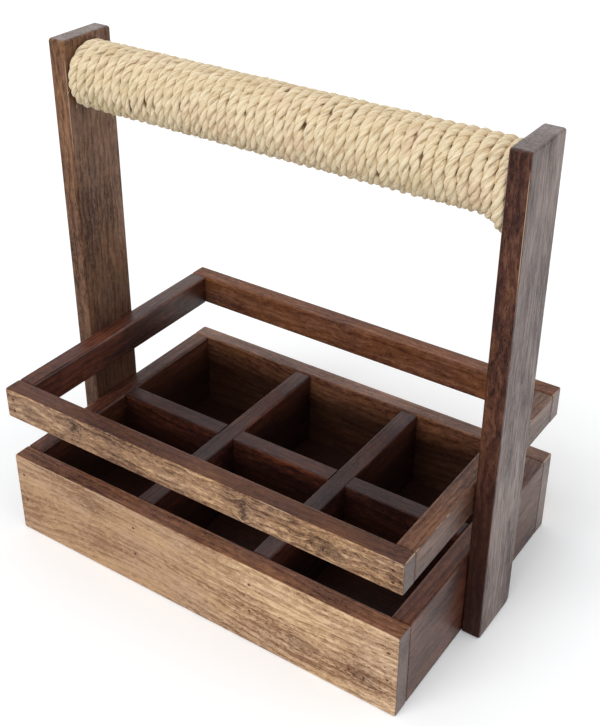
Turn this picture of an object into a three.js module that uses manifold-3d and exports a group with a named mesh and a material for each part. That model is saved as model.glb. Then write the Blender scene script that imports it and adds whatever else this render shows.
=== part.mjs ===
// Wine bottle carrier in dark stained hardwood, for six bottles.
// A low box with six bays stands under an open rail frame. Two uprights outside the box ends carry
// both, and hold a round handle bar between them that is wound with one length of twisted rope.
// Millimetres. X runs along the carrier, Y from front to back and Z up. The origin lies under the
// middle of the box, on the surface that it stands on.

import * as THREE from 'three';
import { mergeVertices } from 'three/addons/utils/BufferGeometryUtils.js';
import Module from 'manifold-3d';

const wasm = await Module();
wasm.setup();

// Box of four boards, butted at the corners
const boxLength = 350;
const boxDepth = 242;
const boxHeight = 73;
const wallThickness = 15;
const floorThickness = 6;
const floorLift = 1;

// Dividers, half-lapped where they cross
const dividerThickness = 15;
const dividerDrop = 0.5;
const middleBayWidth = 92;

// Rail frame above the box
const railGap = 37;
const railHeight = 26;
const railThickness = 15;

// Uprights
const uprightThickness = 15;
const uprightWidth = 50;
const uprightHeight = 381;
const uprightFootRadius = 6;
const uprightCornerRadius = 2.5;

// Handle bar and its rope
const handleDrop = 30;
const barDiameter = 34;
const socketDepth = 8;
const ropeDiameter = 8;
const ropeCornerRadius = 4.2;
const ropePitch = 7.95;
const ropeStart = Math.PI / 6;
const ropeFinish = 1.5 * Math.PI;
const ropeBendRadius = 6;
const flatShare = 0.55;
const flatFadeTurns = 6;

// Nails
const nailDiameter = 1.6;
const nailHeadDiameter = 2.2;
const nailHeadHeight = 0.8;
const nailSink = 0.6;
const nailLength = 38;
const nailPointLength = 3;
const floorNailLength = 24;
const floorNailInset = 58;
const lowNailHeight = 31;
const highNailHeight = 56;
const railNailInset = 8;

// Screws that hold the uprights, each under a wood plug
const screwDiameter = 4;
const screwHeadDiameter = 7.6;
const screwBite = 12;
const screwPointLength = 5;
const screwHeadEdge = 0.5;
const plugDiameter = 8;
const plugLength = 2.8;
const screwOffset = 14;
const lowScrewHeight = 22;
const highScrewHeight = 55;
const railScrewOffset = 9;
const railScrewInset = 7;

// Fits between pieces
const glueLine = 0.2;
const lapGap = 0.3;
const floorGap = 0.3;
const fastenerClearance = 0.2;
const socketClearance = 0.3;
const ropeClearance = 0.3;

// How far a cut runs out past the surface it starts from, and how near two corners count as one
const cutOverrun = 1;
const cornerTolerance = 1e-4;

// Eased edges, and the steps of curved surfaces
const boardEase = 1;
const boardCorner = 1.5;
const uprightEase = 1.5;
const easeSteps = 2;
const boardCornerSteps = 1;
const uprightCornerSteps = 2;
const barSides = 36;
const ropeTurnSteps = 12;
const ropeSides = 6;
const ropeBendSteps = 5;
const nailSides = 6;
const screwSides = 10;

// Places that follow from the sizes
const halfLength = boxLength / 2;
const halfDepth = boxDepth / 2;
const endBoardLength = boxDepth - 2 * wallThickness - 2 * glueLine;
const dividerBottom = floorLift + floorThickness + glueLine;
const dividerTop = boxHeight - dividerDrop;
const dividerHeight = dividerTop - dividerBottom;
const dividerOffset = (middleBayWidth + dividerThickness) / 2;
const railBottom = boxHeight + railGap;
const railTop = railBottom + railHeight;
const uprightInner = halfLength + glueLine;
const handleHeight = uprightHeight - handleDrop;
const uprightOuter = uprightInner + uprightThickness;
const plugSeat = plugLength + fastenerClearance;
const screwLength = uprightThickness + glueLine + screwBite - plugSeat;

const darkWood = new THREE.MeshStandardMaterial({ color: 0x5f4433, roughness: 0.5, metalness: 0 });
const paleWood = new THREE.MeshStandardMaterial({ color: 0x97744f, roughness: 0.55, metalness: 0 });
const bayWood = new THREE.MeshStandardMaterial({ color: 0x3f2a20, roughness: 0.6, metalness: 0 });
const sisal = new THREE.MeshStandardMaterial({ color: 0xd9c096, roughness: 0.95, metalness: 0 });
const steel = new THREE.MeshStandardMaterial({ color: 0x4b4743, roughness: 0.45, metalness: 0.9 });

// Closed geometry to a solid, and back
function toSolid(geometry) {
  const bare = geometry.clone();
  bare.deleteAttribute('normal');
  bare.deleteAttribute('uv');
  const merged = mergeVertices(bare, cornerTolerance);
  const vertProperties = new Float32Array(merged.attributes.position.array);
  const triVerts = new Uint32Array(merged.index.array);
  return new wasm.Manifold(new wasm.Mesh({ numProp: 3, vertProperties, triVerts }));
}

function toGeometry(solid) {
  const mesh = solid.getMesh();
  const geometry = new THREE.BufferGeometry();
  geometry.setAttribute('position', new THREE.BufferAttribute(mesh.vertProperties, 3));
  geometry.setIndex(new THREE.BufferAttribute(mesh.triVerts, 1));
  const flat = geometry.toNonIndexed();
  flat.computeVertexNormals();
  return flat;
}

// A piece's geometry less its cutters, which are given in the carrier's frame
function cut(geometry, position, cutters) {
  let solid = toSolid(geometry);
  for (const cutter of cutters) {
    const local = cutter.clone().translate(-position.x, -position.y, -position.z);
    solid = solid.subtract(toSolid(local));
  }
  return toGeometry(solid);
}

// Outline on a rectangle whose lower side is centred on the origin. The four corner radii run
// anticlockwise from the lower left.
function roundedOutline(width, height, radii) {
  const [lowLeft, lowRight, highRight, highLeft] = radii;
  const side = width / 2;
  const quarter = Math.PI / 2;
  const outline = new THREE.Shape();
  outline.moveTo(-side + lowLeft, 0);
  outline.lineTo(side - lowRight, 0);
  outline.absarc(side - lowRight, lowRight, lowRight, -quarter, 0, false);
  outline.lineTo(side, height - highRight);
  outline.absarc(side - highRight, height - highRight, highRight, 0, quarter, false);
  outline.lineTo(-side + highLeft, height);
  outline.absarc(-side + highLeft, height - highLeft, highLeft, quarter, 2 * quarter, false);
  outline.lineTo(-side, lowLeft);
  outline.absarc(-side + lowLeft, lowLeft, lowLeft, 2 * quarter, 3 * quarter, false);
  return outline;
}

// An outline made a board of the given length, centred on it, with its end edges eased too
function easedExtrusion(outline, length, ease, curveSegments) {
  const board = new THREE.ExtrudeGeometry(outline, {
    depth: length - 2 * ease,
    bevelEnabled: true,
    bevelThickness: ease,
    bevelSize: ease,
    bevelOffset: -ease,
    bevelSegments: easeSteps,
    curveSegments,
  });
  return board.translate(0, 0, ease - length / 2);
}

const axisX = new THREE.Vector3(1, 0, 0);
const axisY = new THREE.Vector3(0, 1, 0);
const axisZ = new THREE.Vector3(0, 0, 1);
const alongX = new THREE.Matrix4().makeBasis(axisY, axisZ, axisX);
const alongY = new THREE.Matrix4().makeBasis(axisX.clone().negate(), axisZ, axisY);

// Boards with their grain along X or Y. Each stands on its own lower side.
const boardCorners = [boardCorner, boardCorner, boardCorner, boardCorner];

function boardAlongX(length, depth, height) {
  const outline = roundedOutline(depth, height, boardCorners);
  return easedExtrusion(outline, length, boardEase, boardCornerSteps).applyMatrix4(alongX);
}

function boardAlongY(length, thickness, height) {
  const outline = roundedOutline(thickness, height, boardCorners);
  return easedExtrusion(outline, length, boardEase, boardCornerSteps).applyMatrix4(alongY);
}

// A turned piece about its own Y axis, from pairs of radius and height that run upwards
function turned(profile, sides) {
  const points = profile.map(([radius, height]) => new THREE.Vector2(radius, height));
  return new THREE.LatheGeometry(points, sides);
}

// A turned piece with its head up is set at a point and driven along a direction
function driven(geometry, head, direction) {
  const turn = new THREE.Quaternion().setFromUnitVectors(axisY, direction.clone().negate());
  return geometry.clone().applyQuaternion(turn).translate(head.x, head.y, head.z);
}

// Nail with its head's top at height 0, and the hole that it lies in, open to the wood's surface
function nailShape(length) {
  const shank = nailDiameter / 2;
  const head = nailHeadDiameter / 2;
  const underHead = -nailHeadHeight;
  return turned([
    [0, -length],
    [shank, nailPointLength - length],
    [shank, underHead],
    [head, underHead / 2],
    [head, 0],
    [0, 0],
  ], nailSides);
}

function nailHole(length) {
  const shank = nailDiameter / 2 + fastenerClearance;
  const head = nailHeadDiameter / 2 + fastenerClearance;
  const underHead = -nailHeadHeight - fastenerClearance;
  const mouth = nailSink + cutOverrun;
  return turned([
    [0, -length - fastenerClearance],
    [shank, nailPointLength - length - fastenerClearance],
    [shank, underHead],
    [head, underHead / 2],
    [head, mouth],
    [0, mouth],
  ], nailSides);
}

// Countersunk screw with its head's top at height 0, its hole and the plug over it
function screwShape() {
  const shank = screwDiameter / 2;
  const head = screwHeadDiameter / 2;
  return turned([
    [0, -screwLength],
    [shank, screwPointLength - screwLength],
    [shank, shank - head],
    [head, -screwHeadEdge],
    [head, 0],
    [0, 0],
  ], screwSides);
}

function screwHole() {
  const shank = screwDiameter / 2 + fastenerClearance;
  const seat = plugDiameter / 2 + fastenerClearance;
  const mouth = plugSeat + cutOverrun;
  return turned([
    [0, -screwLength - fastenerClearance],
    [shank, screwPointLength - screwLength - fastenerClearance],
    [shank, shank - seat - fastenerClearance],
    [seat, -fastenerClearance - screwHeadEdge],
    [seat, mouth],
    [0, mouth],
  ], screwSides);
}

function plugShape() {
  const radius = plugDiameter / 2;
  return turned([
    [0, fastenerClearance],
    [radius, fastenerClearance],
    [radius, plugSeat],
    [0, plugSeat],
  ], screwSides);
}

// Every nail and screw: its name, the surface point it enters at, its direction and its pieces
const fasteners = [];

function addNail(name, surface, direction, length, through) {
  const head = surface.clone().addScaledVector(direction, nailSink);
  const body = driven(nailShape(length), head, direction);
  const hole = driven(nailHole(length), head, direction);
  fasteners.push({ name, body, hole, through, material: steel });
}

function addScrew(name, plugName, surface, direction, through) {
  const head = surface.clone().addScaledVector(direction, plugSeat);
  const body = driven(screwShape(), head, direction);
  const hole = driven(screwHole(), head, direction);
  const plug = driven(plugShape(), head, direction);
  fasteners.push({ name, body, hole, through, material: steel });
  fasteners.push({ name: plugName, body: plug, hole: null, through: [], material: darkWood });
}

const rows = { low: lowNailHeight, high: highNailHeight };
const ends = { left: -1, right: 1 };
const faces = { front: -1, back: 1 };
const endNailX = halfLength - wallThickness / 2;
const railEndNailX = halfLength - railThickness / 2;

for (const [face, side] of Object.entries(faces)) {
  const inward = axisY.clone().multiplyScalar(-side);
  for (const [end, way] of Object.entries(ends)) {
    for (const [row, height] of Object.entries(rows)) {
      const atEnd = new THREE.Vector3(way * endNailX, side * halfDepth, height);
      const atDivider = new THREE.Vector3(way * dividerOffset, side * halfDepth, height);
      const endBoards = [`${face}_board`, `${end}_end_board`];
      const dividerBoards = [`${face}_board`, `${end}_cross_divider`];
      addNail(`${face}_nail_${end}_end_${row}`, atEnd, inward, nailLength, endBoards);
      addNail(`${face}_nail_${end}_divider_${row}`, atDivider, inward, nailLength, dividerBoards);
    }
    const railRows = { low: railBottom + railNailInset, high: railTop - railNailInset };
    for (const [row, height] of Object.entries(railRows)) {
      const atRail = new THREE.Vector3(way * railEndNailX, side * halfDepth, height);
      const rails = [`${face}_rail`, `${end}_rail`];
      addNail(`${face}_rail_nail_${end}_${row}`, atRail, inward, nailLength, rails);
    }
    const under = new THREE.Vector3(way * dividerOffset, side * floorNailInset, floorLift);
    const floorBoards = ['floor_board', `${end}_cross_divider`];
    addNail(`floor_nail_${end}_${face}`, under, axisZ, floorNailLength, floorBoards);
  }
}

for (const [end, way] of Object.entries(ends)) {
  const inward = axisX.clone().multiplyScalar(-way);
  for (const [row, height] of Object.entries(rows)) {
    const atEnd = new THREE.Vector3(way * halfLength, 0, height);
    addNail(`${end}_end_nail_${row}`, atEnd, inward, nailLength, [`${end}_end_board`, 'long_divider']);
  }
  const upright = `${end}_upright`;
  const outer = way * uprightOuter;
  const highFront = new THREE.Vector3(outer, -screwOffset, highScrewHeight);
  const lowBack = new THREE.Vector3(outer, screwOffset, lowScrewHeight);
  const inRail = new THREE.Vector3(outer, -railScrewOffset, railBottom + railScrewInset);
  const box = [upright, `${end}_end_board`];
  addScrew(`${end}_screw_high`, `${end}_plug_high`, highFront, inward, box);
  addScrew(`${end}_screw_low`, `${end}_plug_low`, lowBack, inward, box);
  addScrew(`${end}_screw_rail`, `${end}_plug_rail`, inRail, inward, [upright, `${end}_rail`]);
}

const carrier = new THREE.Group();

// A wooden piece, with its own cuts and the holes of every fastener that passes through it
function addBoard(name, geometry, position, material, cuts = []) {
  const holes = fasteners.filter((one) => one.through.includes(name)).map((one) => one.hole);
  const mesh = new THREE.Mesh(cut(geometry, position, [...cuts, ...holes]), material);
  mesh.name = name;
  mesh.position.copy(position);
  carrier.add(mesh);
}

// Box walls: the long boards cover the ends of the short ones
for (const [face, side] of Object.entries(faces)) {
  const place = new THREE.Vector3(0, side * (halfDepth - wallThickness / 2), 0);
  addBoard(`${face}_board`, boardAlongX(boxLength, wallThickness, boxHeight), place, paleWood);
}
for (const [end, way] of Object.entries(ends)) {
  const place = new THREE.Vector3(way * (halfLength - wallThickness / 2), 0, 0);
  addBoard(`${end}_end_board`, boardAlongY(endBoardLength, wallThickness, boxHeight), place, paleWood);
}

// Floor between the walls, a little above their lower edges
const floorLength = boxLength - 2 * wallThickness - 2 * floorGap;
const floorDepth = boxDepth - 2 * wallThickness - 2 * floorGap;
const floorPlace = new THREE.Vector3(0, 0, floorLift);
addBoard('floor_board', boardAlongX(floorLength, floorDepth, floorThickness), floorPlace, bayWood);

// Half-lapped dividers: the long one is notched from above, the cross ones from below
const notchWidth = dividerThickness + 2 * lapGap;
const notchDepth = (dividerHeight + lapGap) / 2;

function notch(x, y, height) {
  return new THREE.BoxGeometry(notchWidth, notchWidth, 2 * notchDepth).translate(x, y, height);
}

const longLength = boxLength - 2 * wallThickness - 2 * glueLine;
const longNotches = [-1, 1].map((way) => notch(way * dividerOffset, 0, dividerTop));
const longPlace = new THREE.Vector3(0, 0, dividerBottom);
const longDivider = boardAlongX(longLength, dividerThickness, dividerHeight);
addBoard('long_divider', longDivider, longPlace, bayWood, longNotches);

for (const [end, way] of Object.entries(ends)) {
  const place = new THREE.Vector3(way * dividerOffset, 0, dividerBottom);
  const crossNotch = notch(way * dividerOffset, 0, dividerBottom);
  const crossDivider = boardAlongY(endBoardLength, dividerThickness, dividerHeight);
  addBoard(`${end}_cross_divider`, crossDivider, place, bayWood, [crossNotch]);
}

// Rail frame, butted and nailed as the box is
const sideRailLength = boxDepth - 2 * railThickness - 2 * glueLine;
for (const [face, side] of Object.entries(faces)) {
  const place = new THREE.Vector3(0, side * (halfDepth - railThickness / 2), railBottom);
  addBoard(`${face}_rail`, boardAlongX(boxLength, railThickness, railHeight), place, paleWood);
}
for (const [end, way] of Object.entries(ends)) {
  const place = new THREE.Vector3(way * (halfLength - railThickness / 2), 0, railBottom);
  addBoard(`${end}_rail`, boardAlongY(sideRailLength, railThickness, railHeight), place, darkWood);
}

// Uprights, rounded at the foot's back corner, with a blind socket for the bar
const uprightRadii = [uprightCornerRadius, uprightFootRadius, uprightCornerRadius, uprightCornerRadius];
const uprightOutline = roundedOutline(uprightWidth, uprightHeight, uprightRadii);
for (const [end, way] of Object.entries(ends)) {
  const blank = easedExtrusion(uprightOutline, uprightThickness, uprightEase, uprightCornerSteps);
  const board = blank.applyMatrix4(alongX);
  const place = new THREE.Vector3(way * (uprightInner + uprightThickness / 2), 0, 0);
  const socketRadius = barDiameter / 2 + socketClearance;
  const socketX = way * (uprightInner - cutOverrun);
  const socketEnd = way * (uprightInner + socketDepth);
  const socket = new THREE.CylinderGeometry(socketRadius, socketRadius, socketDepth + cutOverrun, barSides);
  socket.rotateZ(-Math.PI / 2).translate((socketX + socketEnd) / 2, 0, handleHeight);
  addBoard(`${end}_upright`, board, place, darkWood, [socket]);
}

// Rope. Its centre line winds round the bar as one helix, from behind the bar at the left upright
// to under it at the right one, and ends at each side in a bend that turns it square into a hole
// in the bar. A section stands at every step of the line: its centre and its outward direction.
const fullTurn = 2 * Math.PI;
const stepAngle = fullTurn / ropeTurnSteps;
const flatWidth = 2 * ropeCornerRadius * Math.sin(Math.PI / 3);
const windRadius = (barDiameter / 2 + ropeClearance) / Math.cos(stepAngle / 2) + ropeCornerRadius;
const windRun = 2 * uprightInner - 2 * ropeClearance - flatWidth;
const ropeTurns = Math.round(windRun / ropePitch) + (ropeFinish - ropeStart) / fullTurn;
const windSteps = Math.round(ropeTurns * ropeTurnSteps);
const windPitch = windRun / ropeTurns;
const endAngle = ropeStart + ropeTurns * fullTurn;

function radial(angle) {
  return new THREE.Vector3(0, Math.cos(angle), Math.sin(angle));
}

// Share of a turn by which the rope stays behind an even helix, at a number of turns from an
// upright. The turn beside it lies flat against it first, and then crosses over behind the bar.
function flatLag(turns) {
  const part = turns % 1;
  const fade = Math.max(0, 1 - turns / flatFadeTurns);
  return fade * (part - THREE.MathUtils.smoothstep(part, flatShare, 1));
}

function helixSections() {
  const sections = [];
  for (let step = 0; step <= windSteps; step += 1) {
    const turns = step / ropeTurnSteps;
    const lag = flatLag(turns) - flatLag(ropeTurns - turns);
    const out = radial(ropeStart + turns * fullTurn);
    const centre = out.clone().multiplyScalar(windRadius);
    centre.x = windPitch * (turns - lag) - windRun / 2;
    sections.push({ centre, out });
  }
  return sections;
}

// The bend turns a little past a right angle, so that the straight end points at the bar's axis
function tailSections(x, angle, way, straight) {
  const lead = Math.asin(ropeBendRadius / (windRadius - ropeBendRadius));
  const sweep = Math.PI / 2 + lead;
  const sections = [];
  for (let step = 1; step <= ropeBendSteps; step += 1) {
    const out = radial(angle + (way * sweep * step) / ropeBendSteps);
    const centre = radial(angle).multiplyScalar(windRadius - ropeBendRadius);
    centre.addScaledVector(out, ropeBendRadius);
    centre.x = x;
    sections.push({ centre, out });
  }
  const last = sections[sections.length - 1];
  const inward = radial(angle + way * lead).negate();
  const centre = last.centre.clone().addScaledVector(inward, straight);
  sections.push({ centre, out: last.out.clone() });
  return sections;
}

// A closed tube through the sections, six-sided, with two flats square to the bar
function tube(sections, radius) {
  const corners = [];
  for (const { centre, out } of sections) {
    for (let side = 0; side < ropeSides; side += 1) {
      const turn = (side * fullTurn) / ropeSides;
      const corner = centre.clone().addScaledVector(out, radius * Math.cos(turn));
      corner.addScaledVector(axisX, radius * Math.sin(turn));
      corners.push(corner.x, corner.y, corner.z);
    }
  }
  const triangles = [];
  for (let step = 0; step + 1 < sections.length; step += 1) {
    for (let side = 0; side < ropeSides; side += 1) {
      const here = step * ropeSides + side;
      const beside = step * ropeSides + ((side + 1) % ropeSides);
      triangles.push(here, beside + ropeSides, beside);
      triangles.push(here, here + ropeSides, beside + ropeSides);
    }
  }
  const last = (sections.length - 1) * ropeSides;
  for (let side = 1; side + 1 < ropeSides; side += 1) {
    triangles.push(0, side, side + 1);
    triangles.push(last, last + side + 1, last + side);
  }
  const geometry = new THREE.BufferGeometry();
  geometry.setAttribute('position', new THREE.Float32BufferAttribute(corners, 3));
  geometry.setIndex(triangles);
  geometry.computeVertexNormals();
  return geometry;
}

// Least distance between corners of the tube that lie more than half a turn apart along it
function leastGap(geometry) {
  const corners = geometry.attributes.position;
  const apart = (ropeTurnSteps / 2) * ropeSides;
  let least = Infinity;
  for (let one = 0; one < corners.count; one += 1) {
    for (let other = one + apart; other < corners.count; other += 1) {
      const dx = corners.getX(one) - corners.getX(other);
      const dy = corners.getY(one) - corners.getY(other);
      const dz = corners.getZ(one) - corners.getZ(other);
      least = Math.min(least, dx * dx + dy * dy + dz * dz);
    }
  }
  return Math.sqrt(least);
}

const windStart = -windRun / 2;
const startTail = tailSections(windStart, ropeStart, -1, ropeDiameter).reverse();
const endTail = tailSections(-windStart, endAngle, 1, ropeDiameter);
const ropeSections = [...startTail, ...helixSections(), ...endTail];
const ropeGeometry = tube(ropeSections, ropeCornerRadius);
const ropeGap = leastGap(ropeGeometry).toFixed(2);
console.log(`rope winding: ${ropeTurns.toFixed(2)} turns, least gap to itself ${ropeGap} mm`);

const rope = new THREE.Mesh(ropeGeometry, sisal);
rope.name = 'rope_winding';
rope.position.set(0, 0, handleHeight);
carrier.add(rope);

// Handle bar, with a hole at each side that takes the rope's end
function ropeHole(x, angle, way) {
  const first = { centre: radial(angle).multiplyScalar(windRadius).setX(x), out: radial(angle) };
  const sections = [first, ...tailSections(x, angle, way, ropeDiameter + ropeClearance)];
  const ordered = way > 0 ? sections : sections.reverse();
  return tube(ordered, ropeCornerRadius + ropeClearance).translate(0, 0, handleHeight);
}

const barLength = 2 * (uprightInner + socketDepth - socketClearance);
const barRadius = barDiameter / 2;
const bar = turned([
  [0, -barLength / 2],
  [barRadius - boardEase, -barLength / 2],
  [barRadius, boardEase - barLength / 2],
  [barRadius, barLength / 2 - boardEase],
  [barRadius - boardEase, barLength / 2],
  [0, barLength / 2],
], barSides).rotateZ(-Math.PI / 2);
const barHoles = [ropeHole(windStart, ropeStart, -1), ropeHole(-windStart, endAngle, 1)];
addBoard('handle_bar', bar, new THREE.Vector3(0, 0, handleHeight), darkWood, barHoles);

for (const { name, body, material } of fasteners) {
  const mesh = new THREE.Mesh(body, material);
  mesh.name = name;
  carrier.add(mesh);
}

export default carrier;
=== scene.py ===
# %% [markdown]
# A carrier for six wine bottles
# It is a low wooden box with six bays. An open rail frame stands above it, and two uprights carry
# a round handle bar that is wound with twisted rope. The wooden pieces and their nails come from
# the CAD frame and keep their shape. This script gives them grain, stain, varnish and wear, makes
# the rope from its three strands, and sets the whole in soft studio light.

import math

import bpy
from mathutils import Matrix, Vector


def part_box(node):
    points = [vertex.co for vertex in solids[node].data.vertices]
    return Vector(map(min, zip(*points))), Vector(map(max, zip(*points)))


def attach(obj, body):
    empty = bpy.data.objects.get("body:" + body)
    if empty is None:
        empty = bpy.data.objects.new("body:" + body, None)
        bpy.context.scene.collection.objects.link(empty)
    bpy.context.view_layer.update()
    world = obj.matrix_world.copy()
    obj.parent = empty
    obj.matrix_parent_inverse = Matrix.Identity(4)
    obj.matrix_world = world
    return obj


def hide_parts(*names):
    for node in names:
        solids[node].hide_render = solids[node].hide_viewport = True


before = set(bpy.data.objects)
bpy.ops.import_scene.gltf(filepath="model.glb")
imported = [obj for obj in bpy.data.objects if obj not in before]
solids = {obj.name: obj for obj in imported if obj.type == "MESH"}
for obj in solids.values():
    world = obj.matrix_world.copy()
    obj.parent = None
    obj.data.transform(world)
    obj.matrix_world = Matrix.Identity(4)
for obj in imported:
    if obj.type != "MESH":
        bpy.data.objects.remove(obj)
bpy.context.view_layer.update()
millimetre = 0.001


def solid_box(name):
    low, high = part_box(name)
    return Vector(low), Vector(high)


def add_object(name, data):
    made = bpy.data.objects.new(name, data)
    bpy.context.scene.collection.objects.link(made)
    return made


print("solids in the frame:", len(solids))

# %% [markdown]
# The camera
# A camera in Blender has a lens in millimetres on a sensor of 36 mm, while a fit to a photograph
# gives its focal length and optical centre in pixels. Both say the same, so the numbers of the fit
# stay as they are here and are turned into a lens and a shift. The shift is small, because the
# photograph was cut a little off the middle.

# %% Camera
photo_width = 600
photo_height = 726
sensor_width = 36
focal_pixels = 1170.8
centre_across = 310.2
centre_down = 314.6
camera_turn = math.radians(33.473)
camera_rise = math.radians(30.134)
camera_roll = math.radians(0.5535)
camera_target = Vector((23.164, 0, 208.047)) * millimetre
camera_distance = 848.913 * millimetre


def add_camera():
    lens = bpy.data.cameras.new("camera")
    lens.sensor_fit = "HORIZONTAL"
    lens.sensor_width = sensor_width
    lens.lens = focal_pixels * sensor_width / photo_width
    lens.shift_x = (photo_width / 2 - centre_across) / photo_width
    lens.shift_y = (centre_down - photo_height / 2) / photo_width
    turn = Matrix.Rotation(camera_turn, 3, "Z")
    tilt = Matrix.Rotation(math.pi / 2 - camera_rise, 3, "X")
    facing = turn @ tilt @ Matrix.Rotation(camera_roll, 3, "Z")
    camera = add_object("camera", lens)
    camera.matrix_world = facing.to_4x4()
    camera.location = camera_target + facing.col[2] * camera_distance
    bpy.context.scene.camera = camera
    return camera


camera = add_camera()
print("lens in mm:", round(camera.data.lens, 1))

# %% [markdown]
# Helpers for node trees
# Every finish below is a tree of nodes. Wiring one by hand takes many lines, so a few small
# helpers place a node, fill its sockets with a link or a plain value, and give back its result. A
# new group is told each input's usual value, or the kind of its socket where it has none.
# Colours are written as they are seen on a screen, from 0 to 255, and turned into linear light.
# A fade rises from 0 at its first limit to 1 at its second. Noise takes how many blotches go into
# a metre, along the wood and then across it, and after that its detail and its roughness.

# %% Place and fill nodes
def feed(tree, socket, value):
    if isinstance(value, bpy.types.NodeSocket):
        tree.links.new(value, socket)
    elif value is not None:
        socket.default_value = value


def fill(tree, node, inputs):
    for name, value in inputs.items():
        feed(tree, node.inputs[name], value)


def place(tree, kind, inputs=None, **settings):
    node = tree.nodes.new(kind)
    for name, value in settings.items():
        setattr(node, name, value)
    fill(tree, node, inputs or {})
    return node


def wire(tree, kind, inputs=None, **settings):
    return place(tree, kind, inputs, **settings).outputs[0]


def linear(value):
    share = value / 255
    return share / 12.92 if share <= 0.04045 else ((share + 0.055) / 1.055) ** 2.4


def colour(red, green, blue):
    return (linear(red), linear(green), linear(blue), 1)


print("linear light of a middle grey:", round(linear(128), 3))


# %% Sums and vectors
def compute(tree, operation, *values):
    return wire(tree, "ShaderNodeMath", dict(enumerate(values)), operation=operation)


def times(tree, first, second):
    return compute(tree, "MULTIPLY", first, second)


def times_plus(tree, first, second, added):
    return compute(tree, "MULTIPLY_ADD", first, second, added)


def minus(tree, first, second):
    return compute(tree, "SUBTRACT", first, second)


def compute_vector(tree, operation, *values):
    return wire(tree, "ShaderNodeVectorMath", dict(enumerate(values)), operation=operation)


def scaled(tree, value, factor):
    return wire(tree, "ShaderNodeVectorMath", {0: value, "Scale": factor}, operation="SCALE")


def length_of(tree, value):
    return place(tree, "ShaderNodeVectorMath", {0: value}, operation="LENGTH").outputs["Value"]


def split(tree, value):
    node = place(tree, "ShaderNodeSeparateXYZ", {"Vector": value})
    return [node.outputs[axis] for axis in "XYZ"]


def join(tree, x, y, z):
    return wire(tree, "ShaderNodeCombineXYZ", {"X": x, "Y": y, "Z": z})


# %% Fades, mixes and noise
def fade(tree, value, start, end):
    limits = {"Value": value, "From Min": start, "From Max": end}
    return wire(tree, "ShaderNodeMapRange", limits, interpolation_type="SMOOTHSTEP")


def mix(tree, share, first, second, method="MIX"):
    inputs = {0: share, 6: first, 7: second}
    return place(tree, "ShaderNodeMix", inputs, data_type="RGBA", blend_type=method).outputs[2]


def tinted(tree, base, mask, strength, tint):
    return mix(tree, times(tree, mask, strength), base, tint)


def noise(tree, position, along, across, detail=2.0, roughness=0.5):
    squeezed = compute_vector(tree, "MULTIPLY", position, (along, across, across))
    inputs = {"Vector": squeezed, "Scale": 1.0, "Detail": detail, "Roughness": roughness}
    return wire(tree, "ShaderNodeTexNoise", inputs, noise_dimensions="3D")


# %% Materials and node groups
number = "NodeSocketFloat"
whole = "NodeSocketInt"
vector = "NodeSocketVector"
paint = "NodeSocketColor"


def start_material(name):
    material = bpy.data.materials.new(name)
    material.use_nodes = True
    tree = material.node_tree
    return material, tree, tree.nodes["Principled BSDF"]


def object_position(tree):
    return place(tree, "ShaderNodeTexCoord").outputs["Object"]


def start_group(name, inputs, outputs, kind="ShaderNodeTree"):
    group = bpy.data.node_groups.new(name, kind)
    kinds = {float: number, int: whole, tuple: vector}
    for label, value in inputs.items():
        socket_kind = kinds.get(type(value), value)
        socket = group.interface.new_socket(label, in_out="INPUT", socket_type=socket_kind)
        if value is not socket_kind:
            socket.default_value = value
    for label, socket_kind in outputs.items():
        group.interface.new_socket(label, in_out="OUTPUT", socket_type=socket_kind)
    given = group.nodes.new("NodeGroupInput").outputs
    result = group.nodes.new("NodeGroupOutput")
    return group, given, result


def use_group(tree, group, **values):
    inputs = {name.replace("_", " ").capitalize(): value for name, value in values.items()}
    return place(tree, "ShaderNodeGroup", inputs, node_tree=group).outputs


# %% [markdown]
# The timber's figure
# A sawn board shows cuts through the tree's growth rings, fine fibres, short open pores, and
# broad clouds of lighter and darker wood, all drawn out along the grain. A picture of wood would
# run out at an edge and would not match at the corners of a board. So the figure is computed in
# three dimensions, from noise that is stretched along the grain, and every face of a board shows
# its own cut through one block. The first axis of the position is the board's length. Long waves
# lean the whole grain a little, and short ones curl it, as in a tree that grew in the wind.

# %% Timber figure group
mask_names = ("Rings", "Streaks", "Fibres", "Mottle", "Clouds", "Pores", "Flecks", "Blush")
ring_unevenness = 2.2
late_wood = 0.30
ring_edge = 0.90


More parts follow.
